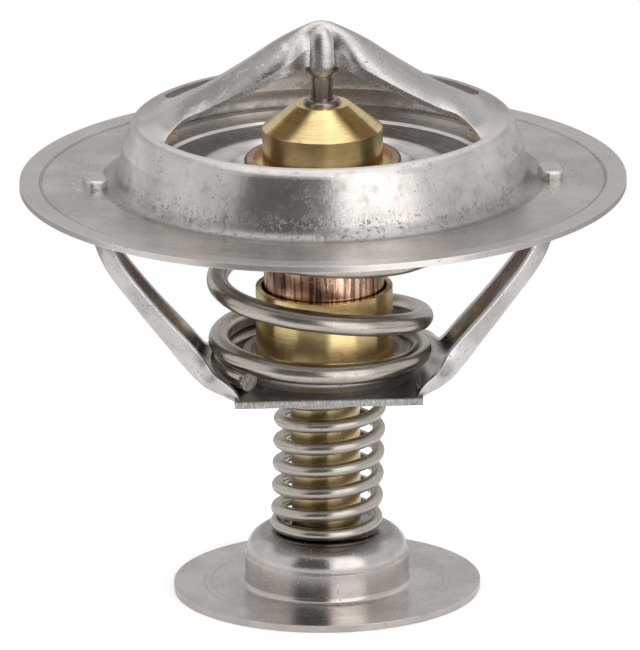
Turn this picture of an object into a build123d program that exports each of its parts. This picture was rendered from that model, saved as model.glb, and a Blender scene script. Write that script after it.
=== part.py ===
from build123d import *
import math
import os

# Engine thermostat with a bypass valve. Millimetres, +Z up along the axis.
# The origin is the middle of the bypass valve's lower face. The bridge and
# the legs of the lower frame lie along X.

# ---------------------------------------------------------------- sheet metal
FLANGE_T = 0.7          # sheet of the flange frame
LOWER_T = 0.85          # sheet of the lower frame
VALVE_T = 0.8           # sheet of the main valve
BYPASS_T = 0.8          # sheet of the bypass valve

# ------------------------------------------------------------------- bypass
BYPASS_R = 16.95        # edge of the bypass disc
HUB_R = 9.1             # outside of the hub that rises from the disc
HUB_TOP_Z = 6.9         # flat top of the hub, the small spring's seat
HUB_STEP_Z = 4.0        # line where the hub's wall steps in
HUB_STEP = 0.22         # how far it steps in
HUB_SHOULDER = 2.5      # rounding of the hub's shoulder
HUB_FOOT = 0.6          # rounding where the hub meets the disc

# -------------------------------------------------------------- sleeve, stem
SLEEVE_R = 7.575        # outside of the sleeve
SLEEVE_WALL = 0.6       # sheet of the sleeve and its stem
SLEEVE_BOTTOM_Z = 25.0  # underside of the sleeve's shoulder
SLEEVE_TOP_Z = 34.9     # rim of the sleeve
SLEEVE_GRIP = 3.5       # height over which the sleeve grips the cup
STEM_R = 3.83           # outside of the stem
STEM_BELOW = 1.2        # stem below the retaining washer
STEM_BEAD = 0.5         # how far the stem's rolled end stands out
STEM_CLEAR = 0.2        # running clearance round the stem
WASHER_R = 6.2          # retaining washer
WASHER_T = 0.9

# ------------------------------------------------------------------- springs
BYPASS_WIRE = 1.45      # wire of the bypass spring
BYPASS_COIL_R = 5.5     # mean radius of its coils
BYPASS_TURNS = 8.0      # turns, with the closed ends
BYPASS_LEAN = 0.65      # how far the spring's top sits to the side of its foot
POINTS_PER_TURN = 8     # points of a spring's path in one turn
MAIN_WIRE = 2.37        # wire of the main spring
MAIN_R_LOW = 11.0       # mean radius of its lowest coil
MAIN_R_MID = 11.35
MAIN_R_HIGH = 13.0      # mean radius of its top coil
MAIN_SPREAD_FROM = 0.45 # share of the wire's run where the spring starts to widen
MAIN_SPREAD_TO = 0.8
MAIN_SHIFT_X = -0.45    # the lower coils sit this far to the side
MAIN_CENTRED_AT = 0.65  # share of the run from which the coils are centred
MAIN_START_DEG = 224.0  # where the lower wire end lies, seen from above
MAIN_TOP_GAP = 0.02     # gap under the main valve
# Climb of the main spring: angle from its lower end, share of its whole rise.
MAIN_CLIMB = (
    (0.0, 0.0), (314.0, 0.09), (404.0, 0.13), (494.0, 0.163), (584.0, 0.25),
    (674.0, 0.39), (764.0, 0.475), (1000.0, 0.69), (1180.0, 0.85), (1340.0, 0.972),
    (1440.0, 1.0), (1620.0, 1.0),
)

# ---------------------------------------------------------------- lower frame
PLATE_TOP_Z = 25.0      # upper face of the plate
PLATE_HALF_Y = 11.0     # half width of the plate
PLATE_HALF_X = 10.4     # where the plate's corners start
COLLAR_INNER_R = 8.2    # bore of the drawn collar
COLLAR_RISE = 2.6       # height of the collar over the plate
COLLAR_BEND_R = 0.9     # outside rounding at the collar's root
FLOOR_CURL = 0.12       # rise of the leg's floor at its edge, as a share of the side
# Legs: place of the outer face, lean, half widths of floor and rim, height of the sides.
LEG_STATIONS = (
    # x, z, lean, floor, rim, side
    (9.8, 24.15, 0, 9.6, 11.0, 0.9),
    (11.2, 24.15, 0, 7.6, 9.6, 2.4),
    (12.8, 24.2, 8, 5.2, 7.0, 2.6),
    (14.2, 24.75, 30, 3.6, 5.2, 2.6),
    (15.6, 26.1, 48, 2.6, 4.3, 2.7),
    (17.3, 28.3, 52, 2.2, 4.1, 2.6),
    (19.1, 30.6, 52, 2.1, 4.1, 2.4),
    (21.5, 33.8, 53, 2.1, 4.1, 2.2),
    (23.9, 37.2, 56, 2.1, 4.0, 2.1),
    (25.1, 39.8, 71, 2.0, 3.6, 1.9),
    (25.7, 42.8, 84, 2.0, 3.2, 1.7),
)
TAB_X = 25.15           # middle of the tabs and of the flange's slots
TAB_WIDTH = 3.4         # width of a tab, folded double
TAB_ROOT = 1.5          # length of the fold below the flange
TAB_OVER = 0.95         # height of a tab's staked end over the flange
TAB_HEAD_X = 2.4        # thickness of the staked end
TAB_SPREAD = 0.8        # how much the staked end has spread along the tab
TAB_ROUND = 0.3         # rounding of the staked end
TAB_CORNER = 0.85       # rounding of its corners, seen from above
TAB_TWIST_DEG = 7.0    # twist of the staked end
SLOT_CLEAR = 0.1        # clearance round a tab in its slot
LOWER_TURN_DEG = 2.2    # how far the lower frame is turned from the bridge

# --------------------------------------------------------------- flange frame
FLANGE_R = 33.5         # edge of the flange
FLANGE_TOP_Z = 47.2     # upper face of the flange
RIM_BAND = 2.1          # plain band at the flange's edge
RIM_STEP = 0.15         # how far the face inside the band stands lower
COLLAR_FOOT_R = 22.9    # outside of the raised collar at the flange
COLLAR_MID_R = 22.1
COLLAR_MID_Z = 51.2
COLLAR_HEAD_R = 20.9
CROWN_TOP_Z = 54.3      # top of the collar's shoulder
CROWN_ROUND = 1.4       # rounding of the shoulder
WINDOW_EDGE = 1.15      # from the collar's head to the windows' outer edge
WINDOW_CORNER_X = 17.4  # ends of the windows beside the bridge's feet
WINDOW_CORNER_Y = 9.4
WINDOW_CORNER_ROUND = 1.2
WINDOW_TRIM = 0.2       # the windows are cut this far inside the bridge's pressed edge
COLLAR_FOOT_ROUND = 1.2 # rounding at the collar's root
CROWN_WIDTH = 4.0       # flat of the crown between the windows' ends
CROWN_DIP = 0.15        # how far it falls inwards

# Bridge: ridge height, edge height and half width at distances from the axis.
BRIDGE_T = 0.75         # sheet of the bridge, measured upright
BRIDGE_STATIONS = (
    # x, ridge z, edge z, half width
    (0.0, 65.35, 60.6, 1.5),
    (1.7, 64.9, 60.5, 1.7),
    (3.1, 64.2, 60.2, 2.9),
    (4.8, 63.25, 59.6, 3.6),
    (7.1, 61.65, 58.6, 3.95),
    (9.6, 59.95, 57.4, 4.15),
    (11.4, 58.75, 56.6, 4.3),
    (13.2, 57.65, 55.8, 4.4),
    (15.1, 56.6, 55.2, 4.9),
    (16.4, 55.65, 54.4, 6.2),
    (17.5, 54.95, 53.7, 8.6),
    (18.7, 54.5, 53.2, 9.8),
    (20.0, 53.8, 52.5, 10.4),
)
# Piston socket that swells out of the bridge's pinched middle: radius, depth under the ridge.
SOCKET_PROFILE = ((1.55, 6.2), (2.0, 5.5), (2.05, 4.3), (2.0, 2.9), (1.6, 1.5), (0.6, 0.5))
SOCKET_BORE = 2.75      # where the socket's bore ends, under the ridge
ARCH_HIP = 0.72         # share of the half width where the arch turns down
ARCH_HIP_RISE = 0.6     # share of the rise at that point
BRIDGE_LIP = 0.4        # height of the arch's plain lower edge

# -------------------------------------------------------------------- element
PISTON_R = 1.22
PISTON_CLEAR = 0.05     # running clearance round the piston
PISTON_BOTTOM_Z = 31.5
PISTON_POINT = 2.0      # length of the piston's tapered end
PISTON_TIP_R = 0.6      # radius of the piston's blunt tip
GUIDE_R = 6.65          # guide above the cup
GUIDE_TOP_R = 3.05      # flat top of the guide
GUIDE_TOP_Z = 55.9
GUIDE_CONE_Z = 53.1     # where the cone meets the guide's cylinder
GUIDE_FLANGE_T = 1.2    # flange that the cup's rim is rolled over
SEAL_R = 2.1            # seal ring round the piston
SEAL_STAND = 0.55       # how far it stands over the guide's top
SEAL_DEPTH = 0.7        # how deep it sits in the guide
SEAL_ROUND = 0.5        # rounding of its outer edge
BACKUP_T = 0.8          # backup ring under the seal
BOOT_R = 2.7            # outside of the rubber boot
BOOT_FLOOR = 1.1        # rubber under the piston
BOOT_FLANGE_T = 0.6     # the boot's flange under the guide
CUP_R = 6.65            # outside of the wax cup
CUP_WALL = 0.45
CUP_RIM_R = 8.7         # outside of the cup's rolled rim
CUP_RIM_TOP_Z = 49.75
CUP_LIP_R = 7.65        # mouth of the rolled rim
CUP_LIP_T = 0.6

# ----------------------------------------------------------------- main valve
VALVE_BAND_TOP_Z = 48.3 # flat band that the spring presses on
VALVE_STEP_OUT_R = 10.6 # slope between the band and the inner seat
VALVE_STEP_IN_R = 9.5
VALVE_BAND_OUT_R = 17.6
VALVE_RIM_RISE = 0.9    # how far the rim stands over the band
VALVE_RIM_WIDTH = 1.3   # flat top of the rim
VALVE_RIM_ROUND = 0.35
VALVE_SEAT_GAP = 0.12   # gap between the rim and the flange's collar


def write(node, solid):
    """Save one sub-part under its node name."""
    solid.label = node
    export_step(solid, f"parts/{node}.step")


def turned(points):
    """Solid of revolution about Z from a closed outline of (radius, z) points."""
    outline = Polyline(*[(r, 0, z) for r, z in points], close=True)
    return revolve(make_face(outline), Axis.Z)


def rod(radius, low, high, x=0.0, y=0.0):
    """Upright cylinder between two heights."""
    place = Pos(x, y, low)
    return place * Cylinder(radius, high - low, align=(Align.CENTER, Align.CENTER, Align.MIN))


def fillet_at(solid, radius, r, z, reach=0.05):
    """Round the circular edges of a turned solid at one radius and height."""
    edges = [
        edge
        for edge in solid.edges().filter_by(GeomType.CIRCLE)
        if abs(edge.radius - r) < reach and abs(edge.arc_center.Z - z) < reach
    ]
    return fillet(edges, radius)


# ---------------------------------------------------------------- bypass side
def make_bypass_valve():
    """Hat-shaped pressing: a disc, a stepped hub and a hole for the stem."""
    step_r = HUB_R - HUB_STEP
    outer = turned([
        (0, 0), (BYPASS_R, 0), (BYPASS_R, BYPASS_T), (HUB_R, BYPASS_T),
        (HUB_R, HUB_STEP_Z), (step_r, HUB_STEP_Z + HUB_STEP), (step_r, HUB_TOP_Z), (0, HUB_TOP_Z),
    ])
    outer = fillet_at(outer, HUB_SHOULDER, step_r, HUB_TOP_Z)
    outer = fillet_at(outer, HUB_FOOT, HUB_R, BYPASS_T)
    hollow_r = step_r - BYPASS_T
    hollow_top = HUB_TOP_Z - BYPASS_T
    hollow = turned([(0, 0), (hollow_r, 0), (hollow_r, hollow_top), (0, hollow_top)])
    hollow = fillet_at(hollow, HUB_SHOULDER - BYPASS_T, hollow_r, hollow_top)
    return outer - hollow - rod(STEM_R + STEM_CLEAR, 0, HUB_TOP_Z)


def washer_top_z():
    """The hub's underside rests on the retaining washer."""
    return HUB_TOP_Z - BYPASS_T


def make_retaining_washer():
    top = washer_top_z()
    return rod(WASHER_R, top - WASHER_T, top) - rod(STEM_R, top - WASHER_T, top)


def make_sleeve():
    """Drawn brass sleeve with a narrow stem, whose end is rolled over the washer."""
    shoulder_top = SLEEVE_BOTTOM_Z + SLEEVE_WALL
    grip_top = shoulder_top + SLEEVE_GRIP
    bead_top = washer_top_z() - WASHER_T
    stem_end = bead_top - STEM_BELOW
    bead_r = STEM_R + STEM_BEAD
    stem_in = STEM_R - SLEEVE_WALL
    mouth_r = SLEEVE_R - SLEEVE_WALL
    body = turned([
        (stem_in, stem_end), (STEM_R, stem_end), (bead_r, stem_end + STEM_BEAD),
        (bead_r, bead_top), (STEM_R, bead_top), (STEM_R, SLEEVE_BOTTOM_Z),
        (SLEEVE_R, SLEEVE_BOTTOM_Z), (SLEEVE_R, SLEEVE_TOP_Z), (mouth_r, SLEEVE_TOP_Z),
        (mouth_r, grip_top), (CUP_R, grip_top), (CUP_R, shoulder_top), (stem_in, shoulder_top),
    ])
    return fillet_at(body, SLEEVE_WALL, SLEEVE_R, SLEEVE_BOTTOM_Z)


def spring_point(angle, radius, z):
    return Vector(radius * math.cos(angle), radius * math.sin(angle), z)


def sweep_wire(points, wire_d):
    """Round wire along a smooth path through the points, with square-cut ends."""
    path = Spline(*points)
    start = path.position_at(0)
    section = Plane(origin=start, z_dir=path.tangent_at(0)) * Circle(wire_d / 2)
    return sweep(section, path=path, is_frenet=True)


def smooth(share):
    """Ease from 0 to 1 with level ends."""
    share = min(max(share, 0.0), 1.0)
    return share * share * (3 - 2 * share)


def make_bypass_spring():
    """Right-handed spring between the hub and the sleeve's shoulder, ends closed."""
    low = HUB_TOP_Z + BYPASS_WIRE / 2
    high = SLEEVE_BOTTOM_Z - BYPASS_WIRE / 2
    end_turns = 1.0
    end_rise = BYPASS_WIRE * 0.55
    middle_turns = BYPASS_TURNS - 2 * end_turns
    pitch = (high - low - 2 * end_rise) / middle_turns
    points = []
    for i in range(round(BYPASS_TURNS * POINTS_PER_TURN) + 1):
        turn = i / POINTS_PER_TURN
        if turn < end_turns:
            z = low + end_rise * (turn / end_turns) ** 2
        elif turn > BYPASS_TURNS - end_turns:
            z = high - end_rise * ((BYPASS_TURNS - turn) / end_turns) ** 2
        else:
            z = low + end_rise + pitch * (turn - end_turns)
        lean = Vector(BYPASS_LEAN * (z - low) / (high - low), 0, 0)
        points.append(spring_point(2 * math.pi * turn, BYPASS_COIL_R, z) + lean)
    return sweep_wire(points, BYPASS_WIRE)


def climb_share(deg):
    """Smooth curve through the main spring's climb."""
    at = max(i for i in range(len(MAIN_CLIMB) - 1) if MAIN_CLIMB[i][0] <= deg)
    (deg_a, share_a), (deg_b, share_b) = MAIN_CLIMB[at], MAIN_CLIMB[at + 1]
    run = deg_b - deg_a
    slopes = []
    for i in (at, at + 1):
        before, after = MAIN_CLIMB[max(i - 1, 0)], MAIN_CLIMB[min(i + 1, len(MAIN_CLIMB) - 1)]
        level = before[1] == MAIN_CLIMB[i][1] or after[1] == MAIN_CLIMB[i][1]
        slopes.append(0.0 if level and i else (after[1] - before[1]) / (after[0] - before[0]))
    t = (deg - deg_a) / run
    ease = smooth(t)
    bend_a = t * (1 - t) ** 2 * slopes[0] * run
    bend_b = t * t * (1 - t) * slopes[1] * run
    return share_a + (share_b - share_a) * ease + bend_a - bend_b


def make_main_spring():
    """Left-handed closing spring from the lower frame's plate to the main valve."""
    low = PLATE_TOP_Z + MAIN_WIRE / 2
    high = VALVE_BAND_TOP_Z - VALVE_T - MAIN_WIRE / 2 - MAIN_TOP_GAP
    total_deg = MAIN_CLIMB[-1][0]
    points = []
    steps = round(total_deg / 360 * POINTS_PER_TURN)
    for i in range(steps + 1):
        share = i / steps
        z = low + (high - low) * climb_share(total_deg * share)
        spread = smooth((share - MAIN_SPREAD_FROM) / (MAIN_SPREAD_TO - MAIN_SPREAD_FROM))
        radius = MAIN_R_LOW + (MAIN_R_MID - MAIN_R_LOW) * smooth(share / MAIN_SPREAD_FROM)
        radius += (MAIN_R_HIGH - MAIN_R_MID) * spread
        aside = 1 - smooth((share - MAIN_SPREAD_FROM) / (MAIN_CENTRED_AT - MAIN_SPREAD_FROM))
        point = spring_point(math.radians(MAIN_START_DEG - total_deg * share), radius, z)
        points.append(point + Vector(MAIN_SHIFT_X * aside, 0, 0))
    return sweep_wire(points, MAIN_WIRE)


# ---------------------------------------------------------------- lower frame
def trough_edge(half_floor, half_width, side, lift):
    """One face of the leg's section: nearly flat floor with sides that curve up."""
    return Spline(
        (-half_width, side), (-half_floor, lift + side * FLOOR_CURL), (-half_floor / 2, lift),
        (half_floor / 2, lift), (half_floor, lift + side * FLOOR_CURL), (half_width, side),
    )


def leg_section(x, z, lean_deg, half_floor, half_width, side, side_sign):
    """Cross section of a leg, in a plane square to its run."""
    lip = LOWER_T * math.hypot(half_width - half_floor, side) / side
    under = trough_edge(half_floor, half_width, side, 0)
    over = trough_edge(half_floor - lip / 2, half_width - lip, side, LOWER_T)
    rim_far = Line((half_width, side), (half_width - lip, side))
    rim_near = Line((-half_width, side), (lip - half_width, side))
    lean = math.radians(lean_deg)
    across = Plane(
        origin=(side_sign * x, 0, z), x_dir=(0, side_sign, 0),
        z_dir=(side_sign * math.cos(lean), 0, math.sin(lean)),
    )
    return across * make_face(under + rim_far + over + rim_near)


def make_leg(side_sign):
    """One leg: a trough that rises from the plate, and the tab at its top."""
    stations = LEG_STATIONS + ((TAB_X + LOWER_T, flange_under_z(), 90, 2.0, 2.9, 1.6),)
    leg = loft([leg_section(*station, side_sign) for station in stations])
    low = flange_under_z() - TAB_ROOT
    top = FLANGE_TOP_Z - RIM_STEP
    standing = (Align.CENTER, Align.CENTER, Align.MIN)
    shank = Pos(side_sign * TAB_X, 0, low) * Box(2 * LOWER_T, TAB_WIDTH, top - low, align=standing)
    head = Box(TAB_HEAD_X, TAB_WIDTH + TAB_SPREAD, TAB_OVER, align=standing)
    head = fillet(head.edges().filter_by(Axis.Z), TAB_CORNER)
    head = fillet(head.edges().group_by(Axis.Z)[-1], TAB_ROUND)
    twisted = Pos(side_sign * TAB_X, 0, top) * Rot(0, 0, TAB_TWIST_DEG) * head
    return leg + shank + twisted


def make_lower_frame():
    """Stirrup: plate with a drawn collar, corner gussets, and two legs with tabs."""
    bottom = PLATE_TOP_Z - LOWER_T
    plate = Pos(0, 0, bottom) * Box(
        2 * PLATE_HALF_X, 2 * PLATE_HALF_Y, LOWER_T, align=(Align.CENTER, Align.CENTER, Align.MIN)
    )
    collar_r = COLLAR_INNER_R + LOWER_T
    collar = turned([
        (COLLAR_INNER_R, bottom), (collar_r + COLLAR_BEND_R, bottom),
        (collar_r + COLLAR_BEND_R, PLATE_TOP_Z), (collar_r, PLATE_TOP_Z + COLLAR_BEND_R),
        (collar_r, PLATE_TOP_Z + COLLAR_RISE), (COLLAR_INNER_R, PLATE_TOP_Z + COLLAR_RISE),
    ])
    frame = plate - rod(COLLAR_INNER_R, bottom, PLATE_TOP_Z) + collar
    return Rot(0, 0, LOWER_TURN_DEG) * (frame + make_leg(1) + make_leg(-1))


# --------------------------------------------------------------- flange frame
def flange_under_z():
    """Underside of the flange inside its rim band."""
    return FLANGE_TOP_Z - RIM_STEP - FLANGE_T


def collar_wall_r(z):
    """Outside radius of the raised collar's lower wall at a height."""
    share = (z - FLANGE_TOP_Z) / (COLLAR_MID_Z - FLANGE_TOP_Z)
    return COLLAR_FOOT_R + (COLLAR_MID_R - COLLAR_FOOT_R) * share


def make_ring():
    """Flange, collar and the crown's shoulder, turned about the axis."""
    face_z = FLANGE_TOP_Z - RIM_STEP
    low = flange_under_z()
    band_r = FLANGE_R - RIM_BAND
    under_z = CROWN_TOP_Z - FLANGE_T
    crown_in_r = COLLAR_HEAD_R - CROWN_WIDTH
    ring = turned([
        (FLANGE_R, low + RIM_STEP), (FLANGE_R, FLANGE_TOP_Z), (band_r, FLANGE_TOP_Z),
        (band_r - RIM_STEP, face_z), (COLLAR_FOOT_R, face_z), (COLLAR_MID_R, COLLAR_MID_Z),
        (COLLAR_HEAD_R, CROWN_TOP_Z), (crown_in_r, CROWN_TOP_Z - CROWN_DIP),
        (crown_in_r, under_z - CROWN_DIP), (COLLAR_HEAD_R - FLANGE_T, under_z),
        (COLLAR_MID_R - FLANGE_T, COLLAR_MID_Z), (COLLAR_FOOT_R - FLANGE_T, low),
        (band_r - RIM_STEP, low), (band_r, low + RIM_STEP),
    ])
    ring = fillet_at(ring, COLLAR_FOOT_ROUND, COLLAR_FOOT_R, face_z)
    ring = fillet_at(ring, COLLAR_FOOT_ROUND, COLLAR_FOOT_R - FLANGE_T, low)
    ring = fillet_at(ring, CROWN_ROUND, COLLAR_HEAD_R, CROWN_TOP_Z)
    return fillet_at(ring, CROWN_ROUND - FLANGE_T, COLLAR_HEAD_R - FLANGE_T, under_z)


def bridge_face(x, ridge, edge, half, drop):
    """Upright arch section of the bridge at one distance from the axis."""
    hip_z = edge + (ridge - edge) * ARCH_HIP_RISE
    hip = half * ARCH_HIP
    crest = Spline((-half, edge), (-hip, hip_z), (0, ridge), (hip, hip_z), (half, edge))
    foot = Polyline((half, edge), (half, edge - drop), (-half, edge - drop), (-half, edge))
    upright = Plane(origin=(x, 0, 0), x_dir=(0, 1, 0), z_dir=(1, 0, 0))
    return upright * make_face(crest + foot)


def bridge_stations():
    """Bridge stations on both sides of the axis, from -X to +X."""
    left = [(-x, *rest) for x, *rest in reversed(BRIDGE_STATIONS[1:])]
    return left + list(BRIDGE_STATIONS)


def make_bridge():
    """Arched strap of inverted-U section, its ends kept inside the collar."""
    outer = loft([
        bridge_face(x, ridge, edge + BRIDGE_LIP, half + WINDOW_TRIM, BRIDGE_LIP)
        for x, ridge, edge, half in bridge_stations()
    ])
    inner = loft([
        bridge_face(x, ridge - BRIDGE_T, edge + BRIDGE_LIP - BRIDGE_T / 2, half - BRIDGE_T, 2 * BRIDGE_T)
        for x, ridge, edge, half in bridge_stations()
    ])
    inside = rod(COLLAR_HEAD_R - CROWN_ROUND / 2, 0, 2 * CROWN_TOP_Z)
    return (outer - inner) & inside


def ridge_z():
    return BRIDGE_STATIONS[0][1]


def socket_bore_z():
    return ridge_z() - SOCKET_BORE


def make_socket():
    """Rounded nose under the bridge's ridge that the piston is pressed into."""
    side = [(radius, 0, ridge_z() - drop) for radius, drop in SOCKET_PROFILE]
    foot = (0, 0, side[0][2])
    top = (0, 0, side[-1][2])
    outline = Line(foot, side[0]) + Spline(*side) + Line(side[-1], top) + Line(top, foot)
    return revolve(make_face(outline), Axis.Z)


def make_window(side):
    """Opening beside the bridge, its ends rounded, on the side of +Y or -Y."""
    left = (-WINDOW_CORNER_X, side * WINDOW_CORNER_Y)
    right = (WINDOW_CORNER_X, side * WINDOW_CORNER_Y)
    between = [
        (x, side * half) for x, ridge, z, half in bridge_stations()
        if abs(x) < WINDOW_CORNER_X - WINDOW_CORNER_ROUND / 2
    ]
    arc = ThreePointArc(right, (0, side * (COLLAR_HEAD_R - WINDOW_EDGE)), left)
    outline = make_face(Spline(left, *between, right) + arc)
    low = COLLAR_MID_Z
    opening = Pos(0, 0, low) * extrude(outline, ridge_z() - low)
    ends = [
        line for line in opening.edges().filter_by(Axis.Z)
        if abs(abs(line.center().X) - WINDOW_CORNER_X) < WINDOW_TRIM
    ]
    return fillet(ends, WINDOW_CORNER_ROUND)


def make_flange_frame():
    """Flange, seat collar and bridge, one pressing, with the piston's socket."""
    frame = make_ring() + make_bridge()
    for side in (1, -1):
        frame = frame - make_window(side)
    slot = Box(2 * (LOWER_T + SLOT_CLEAR), TAB_WIDTH + 2 * SLOT_CLEAR, 4 * FLANGE_T)
    for side in (1, -1):
        frame = frame - Rot(0, 0, LOWER_TURN_DEG) * Pos(side * TAB_X, 0, FLANGE_TOP_Z) * slot
    frame = frame + make_socket()
    return frame - rod(PISTON_R, ridge_z() - SOCKET_PROFILE[0][1], socket_bore_z())


# -------------------------------------------------------------------- element
def make_piston():
    """Polished rod with a tapered lower end."""
    return turned([
        (0, PISTON_BOTTOM_Z), (PISTON_TIP_R, PISTON_BOTTOM_Z),
        (PISTON_R, PISTON_BOTTOM_Z + PISTON_POINT), (PISTON_R, socket_bore_z()), (0, socket_bore_z()),
    ])


def guide_flange_top_z():
    """The cup's rolled lip bears on the guide's flange."""
    return CUP_RIM_TOP_Z - CUP_LIP_T


def guide_foot_z():
    return guide_flange_top_z() - GUIDE_FLANGE_T


def cup_shelf_z():
    """Inside of the cup's shelf, under the boot's flange."""
    return guide_foot_z() - BOOT_FLANGE_T


def cup_floor_z():
    """Underside of the cup, on the sleeve's floor."""
    return SLEEVE_BOTTOM_Z + SLEEVE_WALL


def bore_r():
    return PISTON_R + PISTON_CLEAR


def seal_foot_z():
    return GUIDE_TOP_Z - SEAL_DEPTH


def backup_foot_z():
    return seal_foot_z() - BACKUP_T


def make_guide():
    """Turned brass guide: coned top, cylinder, foot flange, bored for the boot and seal."""
    flange_r = CUP_RIM_R - CUP_WALL
    foot = guide_foot_z()
    top = guide_flange_top_z()
    return turned([
        (BOOT_R, foot), (flange_r, foot), (flange_r, top), (GUIDE_R, top),
        (GUIDE_R, GUIDE_CONE_Z), (GUIDE_TOP_R, GUIDE_TOP_Z), (SEAL_R, GUIDE_TOP_Z),
        (SEAL_R, backup_foot_z()), (BOOT_R, backup_foot_z()),
    ])


def make_piston_seal():
    """Ring round the piston, domed where it stands over the guide."""
    top = GUIDE_TOP_Z + SEAL_STAND
    ring = rod(SEAL_R, seal_foot_z(), top) - rod(bore_r(), seal_foot_z(), top)
    ring = fillet_at(ring, SEAL_ROUND, SEAL_R, top)
    return fillet_at(ring, SEAL_ROUND / 2, bore_r(), top)


def make_backup_ring():
    low = backup_foot_z()
    return rod(SEAL_R, low, seal_foot_z()) - rod(bore_r(), low, seal_foot_z())


def make_boot():
    """Rubber boot round the piston, closed below, with a flange under the guide."""
    floor_z = PISTON_BOTTOM_Z - PISTON_CLEAR
    taper_z = PISTON_BOTTOM_Z + PISTON_POINT
    tip_r = PISTON_TIP_R + PISTON_CLEAR
    flange_r = CUP_RIM_R - CUP_WALL
    return turned([
        (0, floor_z - BOOT_FLOOR), (BOOT_R - BOOT_FLOOR, floor_z - BOOT_FLOOR), (BOOT_R, floor_z),
        (BOOT_R, cup_shelf_z()), (flange_r, cup_shelf_z()), (flange_r, guide_foot_z()),
        (BOOT_R, guide_foot_z()), (BOOT_R, backup_foot_z()), (bore_r(), backup_foot_z()),
        (bore_r(), taper_z), (tip_r, floor_z), (0, floor_z),
    ])


def make_wax_charge():
    """Wax that fills the cup round the boot."""
    inner_r = CUP_R - CUP_WALL
    low = cup_floor_z() + CUP_WALL
    boot_floor_z = PISTON_BOTTOM_Z - PISTON_CLEAR
    return turned([
        (0, low), (inner_r, low), (inner_r, cup_shelf_z()), (BOOT_R, cup_shelf_z()),
        (BOOT_R, boot_floor_z), (BOOT_R - BOOT_FLOOR, boot_floor_z - BOOT_FLOOR),
        (0, boot_floor_z - BOOT_FLOOR),
    ])


def make_element_cup():
    """Drawn copper cup, its rim widened and rolled in over the guide's flange."""
    low = cup_floor_z()
    shelf = cup_shelf_z()
    inner_r = CUP_R - CUP_WALL
    rim_in_r = CUP_RIM_R - CUP_WALL
    cup = turned([
        (0, low), (CUP_R, low), (CUP_R, shelf - CUP_WALL), (CUP_RIM_R, shelf - CUP_WALL),
        (CUP_RIM_R, CUP_RIM_TOP_Z), (CUP_LIP_R, CUP_RIM_TOP_Z), (CUP_LIP_R, guide_flange_top_z()),
        (rim_in_r, guide_flange_top_z()), (rim_in_r, shelf), (inner_r, shelf),
        (inner_r, low + CUP_WALL), (0, low + CUP_WALL),
    ])
    return fillet_at(cup, CUP_WALL, CUP_RIM_R, CUP_RIM_TOP_Z)


# ----------------------------------------------------------------- main valve
def make_main_valve():
    """Dished plate: seat for the cup's shelf, flat band, and a rim that closes the collar."""
    seat_z = cup_shelf_z() - CUP_WALL
    rim_z = VALVE_BAND_TOP_Z + VALVE_RIM_RISE
    rim_r = collar_wall_r(rim_z) - FLANGE_T - VALVE_SEAT_GAP
    top = [
        (VALVE_STEP_IN_R, seat_z), (VALVE_STEP_OUT_R, VALVE_BAND_TOP_Z),
        (VALVE_BAND_OUT_R, VALVE_BAND_TOP_Z), (rim_r - VALVE_RIM_WIDTH, rim_z), (rim_r, rim_z),
    ]
    under = [(r, z - VALVE_T) for r, z in reversed(top)]
    plate = turned([(CUP_R, seat_z), *top, *under, (CUP_R, seat_z - VALVE_T)])
    return fillet_at(plate, VALVE_RIM_ROUND, rim_r, rim_z)


def main():
    os.makedirs("parts", exist_ok=True)
    write("bypass_valve", make_bypass_valve())
    write("retaining_washer", make_retaining_washer())
    write("sleeve", make_sleeve())
    write("bypass_spring", make_bypass_spring())
    write("main_spring", make_main_spring())
    write("lower_frame", make_lower_frame())
    write("flange_frame", make_flange_frame())
    write("piston", make_piston())
    write("guide", make_guide())
    write("piston_seal", make_piston_seal())
    write("backup_ring", make_backup_ring())
    write("boot", make_boot())
    write("wax_charge", make_wax_charge())
    write("element_cup", make_element_cup())
    write("main_valve", make_main_valve())


main()
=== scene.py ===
import math

import bpy
from mathutils import Matrix, Vector


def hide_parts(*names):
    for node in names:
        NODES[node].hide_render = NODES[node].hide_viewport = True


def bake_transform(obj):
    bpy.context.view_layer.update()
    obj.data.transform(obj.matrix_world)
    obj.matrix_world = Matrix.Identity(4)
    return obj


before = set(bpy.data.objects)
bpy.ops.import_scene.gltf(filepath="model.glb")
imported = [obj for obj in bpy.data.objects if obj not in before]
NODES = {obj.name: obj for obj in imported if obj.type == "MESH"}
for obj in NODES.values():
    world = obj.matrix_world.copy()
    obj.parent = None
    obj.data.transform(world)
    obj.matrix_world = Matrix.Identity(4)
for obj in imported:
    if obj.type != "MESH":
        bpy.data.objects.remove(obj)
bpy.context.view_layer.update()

scene = bpy.context.scene
MM = 0.001  # a millimetre in the scene's metres

# Sizes of the solids that the springs and the materials follow, in millimetres.
HUB_TOP_Z = 6.9         # top of the bypass valve's hub, the small spring's seat
PLATE_TOP_Z = 25.0      # top of the lower frame's plate, the closing spring's seat
FLANGE_TOP_Z = 47.2     # upper face of the flange
VALVE_BAND_Z = 48.3     # top of the main valve's flat band
VALVE_T = 0.8           # sheet of the main valve
SMALL_WIRE = 1.45       # wire of the small spring
MAIN_WIRE = 2.37        # wire of the closing spring
LOWER_TURN_DEG = 2.2    # how far the lower frame is turned from the bridge


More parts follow.
